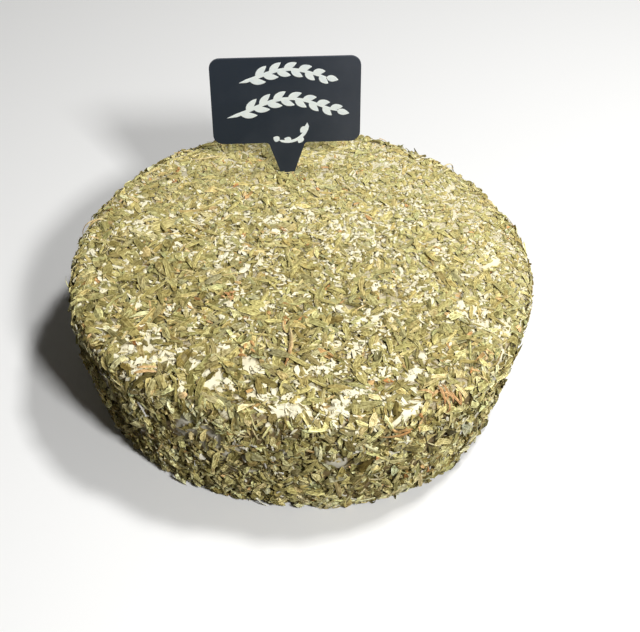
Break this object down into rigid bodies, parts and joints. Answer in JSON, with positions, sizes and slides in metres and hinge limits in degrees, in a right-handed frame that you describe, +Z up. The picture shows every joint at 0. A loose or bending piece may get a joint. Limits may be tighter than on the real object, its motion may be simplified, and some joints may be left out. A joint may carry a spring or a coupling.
{
  "type": "herb-coated cashew cheese wheel",
  "caption": "Round cashew cheese with an uneven side and a short rounded shoulder, coated in dried herb, with a thin write-on marker stuck in its top.",
  "frame": {"origin": "on the table under the middle of the wheel, on the flat it stands on", "axes": "+Z up; -Y is the front, which the marker's written face looks to; +X is to the right of someone reading the marker"},
  "size_m": [0.1767, 0.1758, 0.1001],
  "materials": {
    "herb_coated_cheese": "matt dried herb over soft cream-white paste",
    "marker_plastic": "matt black write-on plastic sheet"
  },
  "bodies": {
    "root": {"cheese_wheel": "herb_coated_cheese", "label_marker": "marker_plastic"}
  },
  "joints": []
}
